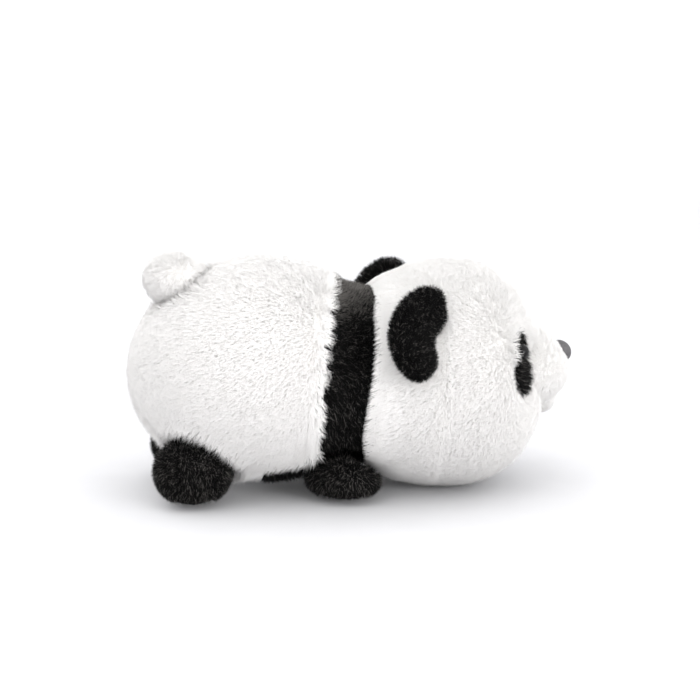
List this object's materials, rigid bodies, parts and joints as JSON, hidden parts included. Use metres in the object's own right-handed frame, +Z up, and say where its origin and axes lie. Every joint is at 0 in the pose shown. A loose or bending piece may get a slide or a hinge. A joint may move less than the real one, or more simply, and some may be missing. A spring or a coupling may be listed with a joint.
{
  "type": "plush panda",
  "caption": "Small stuffed panda lying on its belly, white plush with black ears, eye patches, shoulder band and legs, and a bending head, ears, legs and tail.",
  "frame": {"origin": "middle of the outline on the surface that the toy lies on", "axes": "+X forward from rump to nose, +Y to the animal's left, +Z up"},
  "size_m": [0.2462, 0.155, 0.1329],
  "materials": {
    "white_plush": "5 mm polyester pile, slightly warm white",
    "black_plush": "4 to 5 mm polyester pile, black",
    "fibre_filling": "loose polyester fibre",
    "eye_plastic": "polished black",
    "nose_plastic": "dark grey, fine matte grain",
    "washer_plastic": "natural polypropylene"
  },
  "bodies": {
    "body": {"body_panel_left": "white_plush", "body_panel_right": "white_plush", "belly_panel": "white_plush", "chest_panel": "black_plush", "shoulder_band_left": "black_plush", "shoulder_band_right": "black_plush", "body_stuffing": "fibre_filling"},
    "neck": {"neck_stuffing": "fibre_filling"},
    "head": {"head_back_left": "white_plush", "head_back_right": "white_plush", "face_panel_left": "white_plush", "face_panel_right": "white_plush", "muzzle_cover": "white_plush", "muzzle_stuffing": "fibre_filling", "chin_pad": "white_plush", "head_stuffing": "fibre_filling", "eye_patch_left": "black_plush", "eye_patch_right": "black_plush", "eye_left": "eye_plastic", "eye_right": "eye_plastic", "eye_washer_left": "washer_plastic", "eye_washer_right": "washer_plastic", "nose": "nose_plastic", "nose_washer": "washer_plastic"},
    "ear_left": {"ear_back_left": "black_plush", "ear_front_left": "black_plush"},
    "ear_right": {"ear_back_right": "black_plush", "ear_front_right": "black_plush"},
    "front_leg_left": {"front_leg_cover_left": "black_plush", "front_leg_stuffing_left": "fibre_filling"},
    "front_leg_right": {"front_leg_cover_right": "black_plush", "front_leg_stuffing_right": "fibre_filling"},
    "hind_leg_left": {"hind_leg_cover_left": "black_plush", "hind_leg_stuffing_left": "fibre_filling"},
    "hind_leg_right": {"hind_leg_cover_right": "black_plush", "hind_leg_stuffing_right": "fibre_filling"},
    "tail": {"tail_cover": "white_plush", "tail_stuffing": "fibre_filling"}
  },
  "joints": [
    {"name": "head_turn", "type": "hinge", "parent": "body", "child": "neck", "pos_m": [-0.01, 0, 0.0625], "axis": [0, 0, 1], "range_deg": [-6, 6], "stiffness_Nm_per_rad": 1.2},
    {"name": "head_nod", "type": "hinge", "parent": "neck", "child": "head", "pos_m": [-0.01, 0, 0.0625], "axis": [0, 1, 0], "range_deg": [-10, 3], "stiffness_Nm_per_rad": 1.2},
    {"name": "ear_left_fold", "type": "hinge", "parent": "head", "child": "ear_left", "pos_m": [0.02615, 0.05599, 0.09224], "axis": [0.258, -0.3899, 0.884], "range_deg": [-7, 12], "stiffness_Nm_per_rad": 0.05},
    {"name": "ear_right_fold", "type": "hinge", "parent": "head", "child": "ear_right", "pos_m": [0.02615, -0.05599, 0.09224], "axis": [-0.258, -0.3899, -0.884], "range_deg": [-7, 12], "stiffness_Nm_per_rad": 0.05},
    {"name": "front_leg_left_swing", "type": "hinge", "parent": "body", "child": "front_leg_left", "pos_m": [-0.0105, 0.033, 0.02], "axis": [0, 1, 0], "range_deg": [-10, 10], "stiffness_Nm_per_rad": 0.4},
    {"name": "front_leg_right_swing", "type": "hinge", "parent": "body", "child": "front_leg_right", "pos_m": [-0.0105, -0.033, 0.02], "axis": [0, 1, 0], "range_deg": [-10, 10], "stiffness_Nm_per_rad": 0.4},
    {"name": "hind_leg_left_swing", "type": "hinge", "parent": "body", "child": "hind_leg_left", "pos_m": [-0.09, 0.032, 0.028], "axis": [0, 1, 0], "range_deg": [-10, 10], "stiffness_Nm_per_rad": 0.4},
    {"name": "hind_leg_right_swing", "type": "hinge", "parent": "body", "child": "hind_leg_right", "pos_m": [-0.09, -0.032, 0.028], "axis": [0, 1, 0], "range_deg": [-10, 10], "stiffness_Nm_per_rad": 0.4},
    {"name": "tail_lift", "type": "hinge", "parent": "body", "child": "tail", "pos_m": [-0.0915, 0, 0.1117], "axis": [0, 1, 0], "range_deg": [-16, 16], "stiffness_Nm_per_rad": 0.05}
  ]
}
